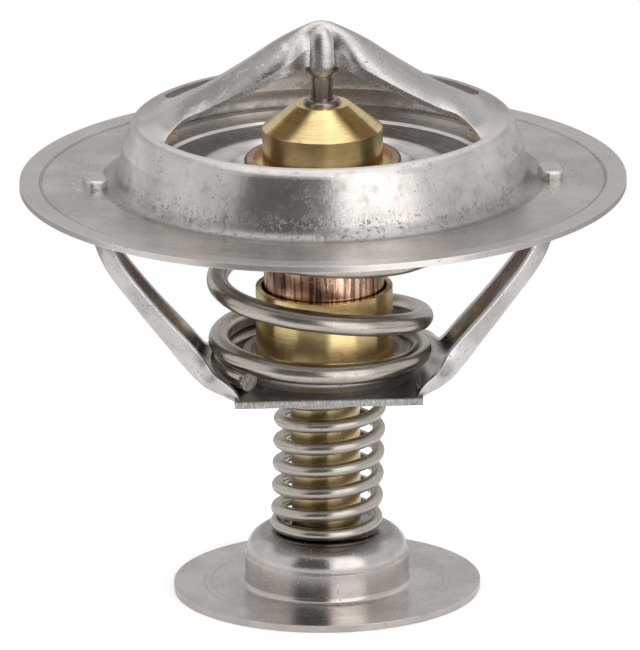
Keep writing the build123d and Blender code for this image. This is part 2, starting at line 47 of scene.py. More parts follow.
# ------------------------------------------------------------------ materials
class Tree:
    """Short words for building a tree of shader nodes."""

    def __init__(self, tree):
        self.tree = tree

    def add(self, kind, **settings):
        node = self.tree.nodes.new(kind)
        for key, value in settings.items():
            setattr(node, key, value)
        return node

    def join(self, value, socket):
        """Sets a number or colour on the socket, or links an output to it."""
        if isinstance(value, (int, float, tuple)):
            socket.default_value = value
        else:
            self.tree.links.new(value, socket)

    def join_all(self, values, sockets):
        for value, socket in zip(values, sockets):
            self.join(value, socket)

    def calc(self, operation, a, b=0.0, clamp=False):
        node = self.add("ShaderNodeMath", operation=operation, use_clamp=clamp)
        self.join_all((a, b), node.inputs)
        return node.outputs[0]

    def times(self, *values):
        total = values[0]
        for value in values[1:]:
            total = self.calc("MULTIPLY", total, value)
        return total

    def plus(self, a, b):
        return self.calc("ADD", a, b)

    def size(self, value):
        return self.calc("ABSOLUTE", value)

    def flip(self, mask):
        return self.calc("SUBTRACT", 1.0, mask)

    def choose(self, mask, off, on):
        """Runs from one level to the other with the mask."""
        return self.plus(self.times(mask, self.calc("SUBTRACT", on, off)), off)

    def pack(self, x, y, z):
        node = self.add("ShaderNodeCombineXYZ")
        self.join_all((x, y, z), node.inputs)
        return node.outputs[0]

    def unpack(self, vector):
        node = self.add("ShaderNodeSeparateXYZ")
        self.join(vector, node.inputs[0])
        return node.outputs

    def span(self, value, low, high, to_low=0.0, to_high=1.0):
        """Smooth step from one level to another."""
        node = self.add("ShaderNodeMapRange", interpolation_type="SMOOTHSTEP", clamp=True)
        self.join_all((value, low, high, to_low, to_high), node.inputs)
        return node.outputs[0]

    def band(self, value, low, high, soft):
        """1 between two levels, fading over the soft width outside them."""
        rise = self.span(value, low - soft, low)
        return self.times(rise, self.span(value, high, high + soft, 1.0, 0.0))


class Shade(Tree):
    """One procedural material. Lengths inside its tree are millimetres."""

    def __init__(self, name, base, rough, metallic=1.0, bevel=0.0, drawn=0.0):
        self.mat = bpy.data.materials.new(name)
        self.mat.use_nodes = True
        super().__init__(self.mat.node_tree)
        self.bsdf = self.tree.nodes["Principled BSDF"]
        self.bsdf.inputs["Metallic"].default_value = metallic
        self.colour = (*base, 1.0)
        self.rough = rough
        self.height = None
        self.bevel = bevel
        self.drawn = drawn
        coords = self.add("ShaderNodeTexCoord").outputs["Object"]
        scaled = self.add("ShaderNodeVectorMath", operation="SCALE")
        self.join(coords, scaled.inputs[0])
        scaled.inputs["Scale"].default_value = 1000
        self.p = scaled.outputs[0]
        self.x, self.y, self.z = self.unpack(self.p)
        square = self.plus(self.times(self.x, self.x), self.times(self.y, self.y))
        self.r = self.calc("SQRT", square)
        self.turn = self.calc("ARCTAN2", self.y, self.x)

    def noise(self, vector, scale, detail=3.0, rough=0.5):
        node = self.add("ShaderNodeTexNoise")
        self.join(vector, node.inputs["Vector"])
        node.inputs["Scale"].default_value = scale
        node.inputs["Detail"].default_value = detail
        node.inputs["Roughness"].default_value = rough
        return node.outputs[0]

    def cells(self, vector, scale):
        node = self.add("ShaderNodeTexVoronoi")
        self.join(vector, node.inputs["Vector"])
        node.inputs["Scale"].default_value = scale
        return node.outputs["Distance"]

    def tint(self, mask, colour, amount=1.0):
        """Turns the colour to another one where the mask is."""
        node = self.add("ShaderNodeMix", data_type="RGBA")
        self.join(self.times(mask, amount), node.inputs[0])
        self.join(self.colour, node.inputs[6])
        self.join((*colour, 1.0), node.inputs[7])
        self.colour = node.outputs[2]

    def shade(self, mask, low, high):
        """Multiplies the colour by a level that runs with the mask."""
        node = self.add("ShaderNodeMix", data_type="RGBA", blend_type="MULTIPLY")
        level = self.span(mask, 0.0, 1.0, low, high)
        node.inputs[0].default_value = 1.0
        self.join(self.colour, node.inputs[6])
        self.join(self.pack(level, level, level), node.inputs[7])
        self.colour = node.outputs[2]

    def mottle(self, noise, low, high):
        """Uneven colour that follows a noise."""
        self.shade(self.span(noise, 0.3, 0.7), low, high)

    def coarsen(self, mask, amount):
        self.rough = self.plus(self.rough, self.times(mask, amount))

    def raise_by(self, mask, mm):
        """Adds to the height that the bump follows."""
        step = self.times(mask, mm)
        self.height = step if self.height is None else self.plus(self.height, step)

    def rings(self, per_mm, wander=0.6, detail=2.0):
        """Fine lines round the axis, as left by turning or a press tool."""
        out, up = self.times(self.r, per_mm), self.times(self.z, per_mm)
        return self.noise(self.pack(out, self.times(self.turn, wander), up), 1.0, detail)

    def uprights(self, per_turn, per_mm=0.25, detail=2.0):
        """Fine lines up a drawn wall."""
        around = self.calc("COSINE", self.turn), self.calc("SINE", self.turn)
        x, y = (self.times(part, per_turn / math.tau) for part in around)
        return self.noise(self.pack(x, y, self.times(self.z, per_mm)), 1.0, detail)

    def scratches(self, degrees, per_mm, length_mm, width=0.012):
        """Thin wandering lines that run one way."""
        turn = self.add("ShaderNodeVectorRotate", rotation_type="Z_AXIS")
        self.join(self.p, turn.inputs["Vector"])
        turn.inputs["Angle"].default_value = math.radians(degrees)
        stretch = self.add("ShaderNodeVectorMath", operation="MULTIPLY")
        self.join(turn.outputs[0], stretch.inputs[0])
        stretch.inputs[1].default_value = (1.0 / length_mm, per_mm, per_mm)
        level = self.noise(stretch.outputs[0], 1.0, 1.0)
        return self.span(self.size(self.calc("SUBTRACT", level, 0.5)), 0.0, width, 1.0, 0.0)

    def spots(self, per_mm, size, share_scale, share):
        """Small round marks, only where a slower noise lets them."""
        near = self.span(self.cells(self.p, per_mm), size * 0.4, size, 1.0, 0.0)
        place = self.span(self.noise(self.p, share_scale, 2.0), share, share + 0.12)
        return self.times(near, place)

    def pits(self, per_mm, size, share_scale, share, mm):
        """Dark round pits in the sheet."""
        marks = self.spots(per_mm, size, share_scale, share)
        self.tint(marks, DARK, 0.6)
        self.raise_by(marks, -mm)

    def dust(self, per_mm, size, share_scale, share, amount, colour=None):
        """Pale specks that lie on the surface. Returns where they are."""
        marks = self.spots(per_mm, size, share_scale, share)
        self.tint(marks, colour or PALE, amount)
        return marks

    def edges(self, mm):
        """1 on the sheet's edges, 0 away from them."""
        soft = self.add("ShaderNodeBevel", samples=6)
        soft.inputs["Radius"].default_value = mm * MM
        true = self.add("ShaderNodeNewGeometry").outputs["True Normal"]
        both = self.add("ShaderNodeVectorMath", operation="DOT_PRODUCT")
        self.join(soft.outputs[0], both.inputs[0])
        self.join(true, both.inputs[1])
        return self.span(both.outputs["Value"], 0.985, 0.90)

    def finish(self):
        """Links colour, roughness, brushing, rounded edges and bump to the shader."""
        self.join(self.colour, self.bsdf.inputs["Base Color"])
        self.join(self.rough, self.bsdf.inputs["Roughness"])
        normal = None
        if self.drawn:
            around = self.add("ShaderNodeTangent", direction_type="RADIAL", axis="Z")
            self.join(around.outputs[0], self.bsdf.inputs["Tangent"])
            self.bsdf.inputs["Anisotropic"].default_value = self.drawn
            self.bsdf.inputs["Anisotropic Rotation"].default_value = 0.25
        if self.bevel:
            bevel = self.add("ShaderNodeBevel", samples=4)
            even = isinstance(self.bevel, float)
            radius = self.bevel * MM if even else self.times(self.bevel, MM)
            self.join(radius, bevel.inputs["Radius"])
            normal = bevel.outputs[0]
        if self.height is not None:
            bump = self.add("ShaderNodeBump")
            bump.inputs["Strength"].default_value = 1.0
            bump.inputs["Distance"].default_value = MM
            self.join(self.height, bump.inputs["Height"])
            if normal is not None:
                self.join(normal, bump.inputs["Normal"])
            normal = bump.outputs[0]
        if normal is not None:
            self.join(normal, self.bsdf.inputs["Normal"])
        return self.mat


STEEL = (0.60, 0.565, 0.54)
DARK = (0.11, 0.09, 0.075)
PALE = (0.86, 0.84, 0.81)


def flange_steel():
    """Pressed flange, collar and bridge."""
    s = Shade("flange_steel", STEEL, 0.22, bevel=0.12, drawn=0.35)
    # Parts of the pressing: flat flange, collar's wall and its foot, bridge, crown, rim.
    flat = s.times(s.span(s.r, 23.2, 24.2), s.span(s.z, 47.5, 47.8, 1.0, 0.0))
    wall = s.times(s.band(s.r, 20.4, 23.4, 0.4), s.span(s.z, 46.9, 47.4))
    foot = s.times(wall, s.span(s.z, 48.4, 51.8, 1.0, 0.0))
    arms = s.times(s.span(s.z, 54.6, 55.6), s.span(s.r, 17.2, 18.0, 1.0, 0.0))
    crown = s.times(s.span(s.z, 53.2, 53.8), s.flip(arms))
    rim = s.span(s.r, 31.2, 31.5)
    tab_x = s.calc("SUBTRACT", s.size(s.x), 25.3)
    tab_y = s.times(s.y, 0.55)
    from_tab = s.calc("SQRT", s.plus(s.times(tab_x, tab_x), s.times(tab_y, tab_y)))
    near_tab = s.span(from_tab, 2.2, 5.2, 1.0, 0.0)
    clouds = s.noise(s.p, 0.12, 4.0, 0.6)
    grain = s.noise(s.p, 5.0, 3.0)
    fine = s.rings(7.0)
    broad = s.rings(1.6, 0.4)
    s.mottle(clouds, 0.86, 1.12)
    s.raise_by(s.times(wall, s.noise(s.p, 0.35, 3.0, 0.6)), 0.05)
    s.coarsen(s.times(wall, s.noise(s.p, 0.8, 4.0, 0.7)), 0.08)
    s.shade(fine, 0.94, 1.05)
    s.tint(rim, (0.68, 0.645, 0.62), 0.55)
    s.coarsen(s.times(flat, broad), 0.12)
    s.coarsen(s.times(arms, grain), 0.10)
    s.coarsen(s.times(rim, grain), 0.10)
    s.raise_by(s.times(flat, fine), 0.0045)
    s.raise_by(s.times(wall, fine), 0.0025)
    # Marks of the press tool on the collar, and worn places.
    brushed = s.uprights(900, 0.5)
    s.raise_by(s.times(foot, brushed), 0.005)
    s.shade(s.times(foot, s.span(brushed, 0.45, 0.7)), 1.0, 0.84)
    scuffed = s.times(wall, s.span(s.noise(s.p, 0.5, 4.0, 0.7), 0.5, 0.68))
    s.coarsen(scuffed, 0.16)
    s.shade(scuffed, 1.0, 0.86)
    # Stretched, speckled sheet of the bridge.
    speckle = s.noise(s.p, 6.0, 3.0, 0.7)
    s.raise_by(s.times(arms, speckle), 0.022)
    # Painted shade: the front of the left arm is darker than the rest, in patches.
    left_arm_shade = s.times(arms, s.band(s.x, -15.0, -3.4, 2.2), s.span(s.y, 0.4, -0.8))
    s.shade(s.times(left_arm_shade, s.span(s.noise(s.p, 0.8, 3.0, 0.6), 0.25, 0.5)), 1.0, 0.66)
    s.shade(s.times(arms, s.span(speckle, 0.48, 0.66)), 1.03, 0.80)
    stretched = s.pack(s.times(s.x, 0.35), s.times(s.y, 1.5), s.times(s.z, 1.5))
    crease = s.noise(stretched, 1.0, 3.0, 0.6)
    s.raise_by(s.times(arms, crease), 0.03)
    s.coarsen(crown, 0.05)
    # Rounding at the collar's foot, darkened with painted shade, and the step inside the plain
    # rim, with painted shade in its groove.
    fillet = s.times(s.band(s.r, 22.9, 24.4, 0.4), s.span(s.z, 48.6, 48.2))
    s.shade(fillet, 1.0, 0.74)
    s.coarsen(fillet, 0.14)
    groove = s.band(s.r, 31.05, 31.3, 0.15)
    s.shade(s.times(groove, flat), 1.0, 0.62)
    s.raise_by(s.times(s.span(s.r, 31.0, 31.4), flat), 0.10)
    # Inside of the collar: painted reflection, darker at the back and pale at the front.
    inside = s.times(s.span(s.r, 20.8, 20.4), s.span(s.z, 54.9, 54.6))
    s.tint(s.times(inside, s.span(s.y, 0.0, 6.0)), (0.42, 0.385, 0.375), 0.6)
    s.coarsen(inside, 0.22)
    s.tint(s.times(inside, s.span(s.y, 0.0, -6.0)), (0.84, 0.81, 0.78), 0.85)
    bare = s.times(s.edges(0.3), s.span(s.noise(s.p, 1.2, 3.0, 0.6), 0.35, 0.5))
    s.tint(bare, PALE, 0.7)
    s.raise_by(grain, 0.0025)
    s.pits(1.6, 0.22, 0.3, 0.50, 0.02)
    # Dark patches along the collar's foot, sunk a little.
    foot_line = s.band(s.r, 22.7, 24.3, 0.5)
    foot_mottle = s.span(s.noise(s.p, 2.2, 4.0, 0.75), 0.56, 0.66)
    foot_patches = s.times(foot_line, foot_mottle, s.span(s.z, 49.5, 50.5, 1.0, 0.0))
    s.tint(foot_patches, DARK, 0.7)
    s.raise_by(foot_patches, -0.02)
    stain = s.times(near_tab, s.span(s.noise(s.p, 2.6, 2.0, 0.6), 0.62, 0.68))
    s.tint(stain, DARK, 0.7)
    s.raise_by(stain, -0.01)
    for degrees, amount in ((-62, 0.3), (38, 0.25), (8, 0.25)):
        broken = s.span(s.noise(s.p, 0.22, 2.0), 0.52, 0.64)
        line = s.times(s.scratches(degrees, 1.0, 18.0, 0.008), broken)
        s.raise_by(line, -0.010 * amount)
        s.tint(line, PALE, amount * 0.6)
    scored = s.times(s.span(s.x, -21.0, -23.0), s.span(from_tab, 4.0, 7.5, 1.0, 0.0), flat)
    broken = s.span(s.noise(s.p, 0.9, 1.0), 0.5, 0.6)
    strokes = s.times(s.scratches(-86, 1.6, 6.0, 0.02), scored, broken)
    s.tint(strokes, PALE, 0.9)
    s.dust(2.0, 0.16, 0.5, 0.48, 0.6)
    return s.finish()


def frame_steel():
    """Pressed lower frame: its sheared edges bare, its legs' edges bare with a painted
    highlight, and its tabs hammered.
    """
    s = Shade("frame_steel", (0.71, 0.68, 0.66), 0.28, bevel=0.14)
    clouds = s.noise(s.p, 0.25, 4.0, 0.6)
    grain = s.noise(s.p, 4.0, 4.0, 0.65)
    ax = s.size(s.x)
    s.mottle(clouds, 0.86, 1.08)
    s.coarsen(grain, 0.14)
    s.raise_by(grain, 0.010)
    dents = s.noise(s.p, 0.45, 2.0)
    s.raise_by(s.times(dents, s.span(ax, 12.0, 14.0)), 0.12)
    legs = s.span(ax, 10.5, 11.5)
    # Painted shade: the legs darker from 27 mm up.
    s.shade(s.times(legs, s.span(s.z, 27.0, 30.0)), 0.93, 0.80)
    # Legs' sheet edges near white: bare metal with a painted highlight.
    s.tint(s.times(s.edges(0.45), legs), (1.0, 0.99, 0.98), 1.0)
    drag = s.pack(s.times(s.size(s.y), 6.0), s.times(ax, 0.35), s.times(s.z, 0.35))
    along = s.noise(drag, 1.0, 2.0)
    s.raise_by(s.times(along, s.span(ax, 13.5, 15.5)), 0.010)
    # Sheared front and back edges of the plate.
    turned = math.radians(LOWER_TURN_DEG)
    across = s.times(s.y, math.cos(turned)), s.times(s.x, math.sin(turned))
    off_middle = s.size(s.calc("SUBTRACT", *across))
    below_top = s.span(s.z, 25.02, 25.2, 1.0, 0.0)
    sheared = s.times(s.span(off_middle, 10.93, 10.98), below_top)
    torn = s.noise(s.pack(s.times(s.x, 5.0), s.y, s.times(s.z, 1.6)), 1.0, 3.0)
    s.raise_by(s.times(sheared, torn), 0.06)
    s.coarsen(sheared, 0.2)
    s.shade(sheared, 1.0, 0.66)
    s.tint(s.times(sheared, s.span(torn, 0.50, 0.6)), PALE, 0.4)
    # Top of the plate, with painted shade, and the collar drawn up from it, with painted
    # light.
    top = s.times(s.band(s.z, 24.9, 25.3, 0.1), s.span(ax, 10.5, 11.5, 1.0, 0.0))
    s.shade(top, 1.0, 0.55)
    collar = s.times(s.span(s.r, 9.3, 9.0), s.span(s.z, 25.02, 25.15))
    s.tint(collar, (0.96, 0.94, 0.92), 0.9)
    s.coarsen(collar, 0.4)
    s.pits(1.8, 0.26, 0.4, 0.42, 0.02)
    s.dust(2.6, 0.18, 0.6, 0.42, 0.7)
    # Staked heads of the tabs, over the flange.
    head = s.span(s.z, FLANGE_TOP_Z - 0.3, FLANGE_TOP_Z)
    hammered = s.noise(s.p, 1.6, 3.0)
    s.raise_by(s.times(head, hammered), 0.06)
    s.bevel = s.choose(head, 0.14, 0.5)
    s.tint(head, (0.74, 0.71, 0.68), 0.5)
    s.tint(s.times(s.scratches(25, 1.2, 6.0), clouds), PALE, 0.45)
    return s.finish()


def valve_steel():
    """Main valve plate. The slope and the step on its face are bump alone."""
    s = Shade("valve_steel", (0.70, 0.67, 0.65), 0.22, bevel=0.1, drawn=0.4)
    clouds = s.noise(s.p, 0.18, 4.0, 0.6)
    fine = s.rings(6.0)
    s.mottle(clouds, 0.86, 1.08)
    s.raise_by(fine, 0.005)
    s.coarsen(s.rings(1.2), 0.12)
    s.raise_by(s.noise(s.p, 5.0, 3.0), 0.003)
    s.raise_by(s.span(s.r, 18.0, 18.6), 0.34)
    s.raise_by(s.span(s.r, 10.4, 14.2), 1.55)
    # Painted reflection: the flat band between the slope and the step is darker.
    s.shade(s.band(s.r, 14.4, 17.7, 0.6), 1.0, 0.74)
    broken = s.span(s.noise(s.p, 0.6, 3.0, 0.6), 0.5, 0.6)
    s.tint(s.times(s.scratches(48, 1.6, 3.0, 0.05), broken), PALE, 0.5)
    s.dust(2.0, 0.2, 0.5, 0.42, 0.6)
    return s.finish()


def bypass_steel():
    """Bypass valve and washer: a ring-worn disc and a drawn hub."""
    s = Shade("bypass_steel", (0.64, 0.595, 0.565), 0.15, bevel=0.12, drawn=0.3)
    clouds = s.noise(s.p, 0.16, 4.0, 0.62)
    disc = s.span(s.z, 0.9, 1.2, 1.0, 0.0)
    hub = s.flip(disc)
    wear = s.times(disc, s.band(s.r, 9.6, 13.4, 0.5))
    s.mottle(clouds, 0.88, 1.1)
    s.raise_by(s.times(disc, s.rings(5.0, 0.8)), 0.002)
    s.raise_by(s.times(wear, s.rings(2.6, 0.9)), 0.012)
    patches = s.noise(s.pack(s.times(s.r, 2.2), s.times(s.turn, 9.0), s.z), 1.0, 4.0, 0.7)
    s.shade(s.times(wear, s.span(patches, 0.46, 0.64)), 1.01, 0.92)
    s.coarsen(wear, 0.10)
    s.raise_by(s.times(hub, s.uprights(260, 0.3)), 0.006)
    # Painted shade: the hub darker than the disc.
    s.shade(hub, 1.0, 0.84)
    worn = s.times(hub, s.span(s.noise(s.p, 1.6, 4.0, 0.7), 0.5, 0.66))
    s.coarsen(worn, 0.06)
    # Painted shadow round the small spring's seat on the hub's top.
    s.tint(s.times(s.span(s.r, 8.0, 7.0), s.span(s.z, 6.2, 6.6)), DARK, 0.45)
    # Painted shade on the hub's shoulder at the front, under the small spring, and fine lines
    # round the disc.
    front = s.times(s.span(s.y, -1.0, -3.0), s.span(s.size(s.x), 7.0, 5.0))
    s.shade(s.times(s.span(s.z, 5.3, 6.3), front), 1.0, 0.55)
    lines = s.plus(s.band(s.r, 12.8, 12.9, 0.12), s.band(s.r, 13.6, 13.7, 0.12))
    s.shade(s.times(disc, lines, s.span(clouds, 0.35, 0.6)), 1.0, 0.86)
    grain = s.noise(s.p, 6.0, 3.0, 0.7)
    s.raise_by(grain, 0.009)
    s.coarsen(grain, 0.05)
    s.coarsen(s.dust(2.0, 0.15, 0.5, 0.36, 0.95, (0.98, 0.97, 0.95)), 0.4)
    s.pits(1.4, 0.2, 0.35, 0.5, 0.015)
    return s.finish()


def brass(name, base, rough, line_mm):
    """Turned brass, with painted shade on the sleeve's stem and on the guide's wall."""
    s = Shade(name, base, rough, bevel=0.1, drawn=0.88)
    tool = s.pack(s.times(s.turn, 0.8), s.times(s.r, 6.0), s.times(s.z, 6.0))
    lines = s.noise(tool, 1.0, 3.0, 0.6)
    clouds = s.noise(s.p, 0.22, 4.0, 0.6)
    s.mottle(clouds, 0.86, 1.1)
    s.mottle(lines, 0.93, 1.06)
    s.raise_by(lines, line_mm)
    s.coarsen(clouds, 0.06)
    # Painted shade on the sleeve's stem below the plate, which also takes a paler hue.
    stem = s.span(s.z, PLATE_TOP_Z, PLATE_TOP_Z - 1.0)
    s.tint(stem, (0.90, 0.74, 0.42), 0.75)
    s.shade(stem, 1.0, 0.78)
    # Painted shade on the guide's wall.
    s.shade(s.band(s.z, 49.9, 53.0, 0.1), 1.0, 0.84)
    tarnish = s.span(s.noise(s.p, 0.5, 5.0, 0.7), 0.52, 0.70)
    s.tint(tarnish, (0.56, 0.40, 0.19), 0.35)
    stain = s.times(s.spots(0.9, 0.3, 0.4, 0.52), s.noise(s.p, 3.0, 3.0, 0.7))
    s.tint(stain, (0.20, 0.11, 0.04), 0.5)
    specks = s.spots(2.6, 0.22, 0.6, 0.42)
    s.tint(specks, (0.09, 0.05, 0.02), 0.6)
    s.raise_by(s.noise(s.p, 5.0, 3.0), 0.002)
    return s.finish()


def copper():
    """Drawn copper cup, streaked up its wall and tarnished on its rim."""
    s = Shade("copper", (0.84, 0.50, 0.36), 0.17, bevel=0.1)
    streak = s.uprights(70, 0.12, 4.0)
    wall = s.span(s.r, 7.2, 6.9)
    s.shade(s.choose(wall, 0.7, s.span(streak, 0.38, 0.60)), 0.34, 1.22)
    s.tint(s.times(s.span(streak, 0.55, 0.66), wall), (0.97, 0.76, 0.64), 0.85)
    s.raise_by(s.uprights(160, 0.3), 0.030)
    s.coarsen(streak, 0.14)
    tarnish = s.noise(s.p, 0.6, 4.0, 0.65)
    s.tint(s.span(tarnish, 0.52, 0.72), (0.26, 0.12, 0.08), 0.55)
    s.tint(s.span(s.r, 6.9, 7.2), (0.44, 0.28, 0.19), 0.85)
    s.tint(s.times(s.scratches(35, 1.0, 4.0, 0.03), tarnish), (0.95, 0.78, 0.66), 0.8)
    s.raise_by(s.noise(s.p, 4.0, 4.0), 0.006)
    return s.finish()


def spring_steel():
    """Drawn wire. The wire's own coordinates run along and round it."""
    s = Shade("spring_steel", (0.52, 0.475, 0.425), 0.19)
    along, around, _ = s.unpack(s.add("ShaderNodeUVMap", uv_map="wire").outputs[0])
    angle = s.times(around, math.tau)
    x, y = (s.times(s.calc(kind, angle), 6.0) for kind in ("COSINE", "SINE"))
    die = s.noise(s.pack(x, y, s.times(along, 0.30)), 1.0, 3.0, 0.6)
    s.mottle(die, 0.86, 1.06)
    s.raise_by(die, 0.004)
    s.coarsen(die, 0.10)
    scale = s.noise(s.p, 1.1, 4.0, 0.7)
    s.tint(s.span(scale, 0.55, 0.72), (0.26, 0.19, 0.13), 0.45)
    s.raise_by(s.noise(s.p, 5.0, 3.0), 0.006)
    closing_only = s.span(s.z, PLATE_TOP_Z - 1.0, PLATE_TOP_Z)
    chips = s.times(s.spots(2.6, 0.22, 0.6, 0.38), closing_only)
    s.tint(chips, PALE, 0.6)
    return s.finish()


def cut_steel():
    """Sheared end of a wire."""
    s = Shade("cut_steel", (0.78, 0.74, 0.67), 0.42)
    torn = s.noise(s.p, 1.6, 4.0, 0.7)
    s.shade(torn, 0.6, 1.25)
    s.raise_by(torn, 0.30)
    return s.finish()


def polished_steel():
    """Ground piston rod."""
    s = Shade("polished_steel", (0.66, 0.62, 0.58), 0.08)
    s.coarsen(s.rings(3.0), 0.08)
    s.raise_by(s.rings(6.0), 0.002)
    s.shade(s.noise(s.p, 0.9, 3.0), 0.85, 1.08)
    return s.finish()


def soft(name, base, rough, grain_mm):
    """Grainy plastic, rubber or wax."""
    s = Shade(name, base, rough, metallic=0.0)
    grain = s.noise(s.p, 2.5, 4.0, 0.6)
    s.shade(grain, 0.8, 1.2)
    s.raise_by(grain, grain_mm)
    s.coarsen(grain, 0.12)
    return s.finish()


def seal_rubber():
    """Dark shiny ring round the piston."""
    s = Shade("seal_rubber", (0.30, 0.25, 0.24), 0.14, metallic=0.7)
    s.raise_by(s.rings(3.0), 0.004)
    s.shade(s.noise(s.p, 1.5, 3.0), 0.7, 1.3)
    s.coarsen(s.noise(s.p, 3.0, 3.0), 0.10)
    return s.finish()


SPRING = spring_steel()
CUT = cut_steel()
FINISH = {
    "flange_frame": flange_steel(),
    "lower_frame": frame_steel(),
    "main_valve": valve_steel(),
    "bypass_valve": bypass_steel(),
    "guide": brass("guide_brass", (0.89, 0.69, 0.34), 0.23, 0.002),
    "sleeve": brass("sleeve_brass", (0.88, 0.68, 0.34), 0.22, 0.003),
    "element_cup": copper(),
    "piston": polished_steel(),
    "piston_seal": seal_rubber(),
    "backup_ring": soft("ring_plastic", (0.75, 0.73, 0.68), 0.4, 0.01),
    "boot": soft("boot_rubber", (0.03, 0.03, 0.03), 0.55, 0.02),
    "wax_charge": soft("wax", (0.55, 0.30, 0.14), 0.5, 0.03),
    "main_spring": SPRING,
    "bypass_spring": SPRING,
}
FINISH["retaining_washer"] = FINISH["bypass_valve"]
for node, material in FINISH.items():
    mesh = NODES[node].data
    mesh.materials.clear()
    mesh.materials.append(material)


# -------------------------------------------------------------------- springs
def smooth(share):
    """Smooth step from 0 to 1."""
    share = min(max(share, 0.0), 1.0)
    return share * share * (3 - 2 * share)


SMALL_STEPS = 56    # points of the small spring's path in one turn
MAIN_STEPS = 72     # and of the closing spring's
NIP = 0.06          # how far the wire narrows at its sheared ends


def on_coil(aside, radius, angle, z):
    """Point of a coil whose middle lies to the side of the axis."""
    return Vector((aside + radius * math.cos(angle), radius * math.sin(angle), z))


def bypass_path():
    """Centre line of the small spring: closed end coils and even open ones."""
    radius, lean, pitch = 5.5, 0.65, 2.575
    low, high = HUB_TOP_Z + SMALL_WIRE / 2, PLATE_TOP_Z - SMALL_WIRE / 2
    # In turns: the wire's ends, where it leaves one seat and meets the other,
    # and how soon it reaches its full pitch.
    begin, leave, arrive, end = 0.40, 0.7245, 7.457, 7.75
    bend = 0.257
    points = []
    steps = int((end - begin) * SMALL_STEPS)
    for i in range(steps + 1):
        turn = begin + (end - begin) * i / steps
        if turn < leave + bend:
            z = low + pitch / (2 * bend) * max(turn - leave, 0) ** 2
        elif turn > arrive - bend:
            z = high - pitch / (2 * bend) * max(arrive - turn, 0) ** 2
        else:
            z = low + pitch * (turn - leave - bend / 2)
        angle = math.tau * turn
        aside = lean * (z - low) / (high - low)
        points.append(on_coil(aside, radius, angle, z))
    return points


# Climb of the closing spring: degrees from its lower end, share of its rise.
CLIMB = (
    (0.0, 0.0), (314.0, 0.09), (404.0, 0.13), (494.0, 0.163), (584.0, 0.25),
    (674.0, 0.39), (764.0, 0.475), (1000.0, 0.69), (1180.0, 0.85), (1340.0, 0.972),
    (1440.0, 1.0), (1620.0, 1.0),
)


def climb_share(deg):
    """Smooth curve through the climb."""
    at = max(i for i in range(len(CLIMB) - 1) if CLIMB[i][0] <= deg)
    (deg_a, share_a), (deg_b, share_b) = CLIMB[at], CLIMB[at + 1]
    run = deg_b - deg_a
    slopes = []
    for i in (at, at + 1):
        before, after = CLIMB[max(i - 1, 0)], CLIMB[min(i + 1, len(CLIMB) - 1)]
        level = before[1] == CLIMB[i][1] or after[1] == CLIMB[i][1]
        slopes.append(0.0 if level and i else (after[1] - before[1]) / (after[0] - before[0]))
    t = (deg - deg_a) / run
    bend_a = t * (1 - t) ** 2 * slopes[0] * run
    bend_b = t * t * (1 - t) * slopes[1] * run
    return share_a + (share_b - share_a) * smooth(t) + bend_a - bend_b


def main_path():
    """Centre line of the closing spring, which widens towards the valve."""
    gap = 0.02
    low = PLATE_TOP_Z + MAIN_WIRE / 2
    high = VALVE_BAND_Z - VALVE_T - MAIN_WIRE / 2 - gap
    lower_end_deg = 224.0
    total = CLIMB[-1][0]
    steps = int(total / 360 * MAIN_STEPS)
    points = []
    for i in range(steps + 1):
        share = i / steps
        z = low + (high - low) * climb_share(total * share)
        radius = 11.0 + 0.35 * smooth(share / 0.45) + 1.65 * smooth((share - 0.45) / 0.35)
        aside = -0.45 * (1 - smooth((share - 0.45) / 0.2))
        angle = math.radians(lower_end_deg - total * share)
        points.append(on_coil(aside, radius, angle, z))
    return points


def wire_mesh(name, points, diameter, sides):
    """Round wire along a path in millimetres, its ends sheared."""
    verts, rows, runs = [], [], []
    run = 0.0
    last = len(points) - 1
    for i, point in enumerate(points):
        ahead = points[min(i + 1, last)] - points[max(i - 1, 0)]
        ahead.normalize()
        out = Vector((point.x, point.y, 0)).normalized()
        out = (out - ahead * out.dot(ahead)).normalized()
        up = ahead.cross(out)
        run += (point - points[max(i - 1, 0)]).length
        reach = diameter / 2 - (NIP if i in (0, last) else 0.0)
        row = []
        for k in range(sides):
            a = math.tau * k / sides
            row.append(len(verts))
            verts.append((point + (out * math.cos(a) + up * math.sin(a)) * reach) / 1000)
        rows.append(row)
        runs.append(run)
    faces, places = [], []
    for i in range(last):
        for k in range(sides):
            j = (k + 1) % sides
            faces.append((rows[i][k], rows[i + 1][k], rows[i + 1][j], rows[i][j]))
            near, far = k / sides, (k + 1) / sides
            here, there = runs[i], runs[i + 1]
            places.append(((here, near), (there, near), (there, far), (here, far)))
    sheared = len(faces)
    faces.append(tuple(rows[0]))
    faces.append(tuple(reversed(rows[-1])))
    places += [[(0.0, 0.0)] * sides] * 2
    mesh = bpy.data.meshes.new(name)
    mesh.from_pydata(verts, [], faces)
    layer = mesh.uv_layers.new(name="wire")
    slot = 0
    for face, spots in zip(mesh.polygons, places):
        face.use_smooth = face.index < sheared
        face.material_index = 0 if face.index < sheared else 1
        for place in spots:
            layer.data[slot].uv = place
            slot += 1
    mesh.materials.append(SPRING)
    mesh.materials.append(CUT)
    mesh.validate()
    return mesh


def wire(name, points, diameter, sides):
    """Wire along a path in millimetres, from one height to another, as an object in metres."""
    piece = bpy.data.objects.new(name, wire_mesh(name, points, diameter, sides))
    scene.collection.objects.link(piece)
    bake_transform(piece)
    return piece


closing = wire("closing_spring", main_path(), MAIN_WIRE, 24)
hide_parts("main_spring")
small = wire("small_spring", bypass_path(), SMALL_WIRE, 16)
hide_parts("bypass_spring")


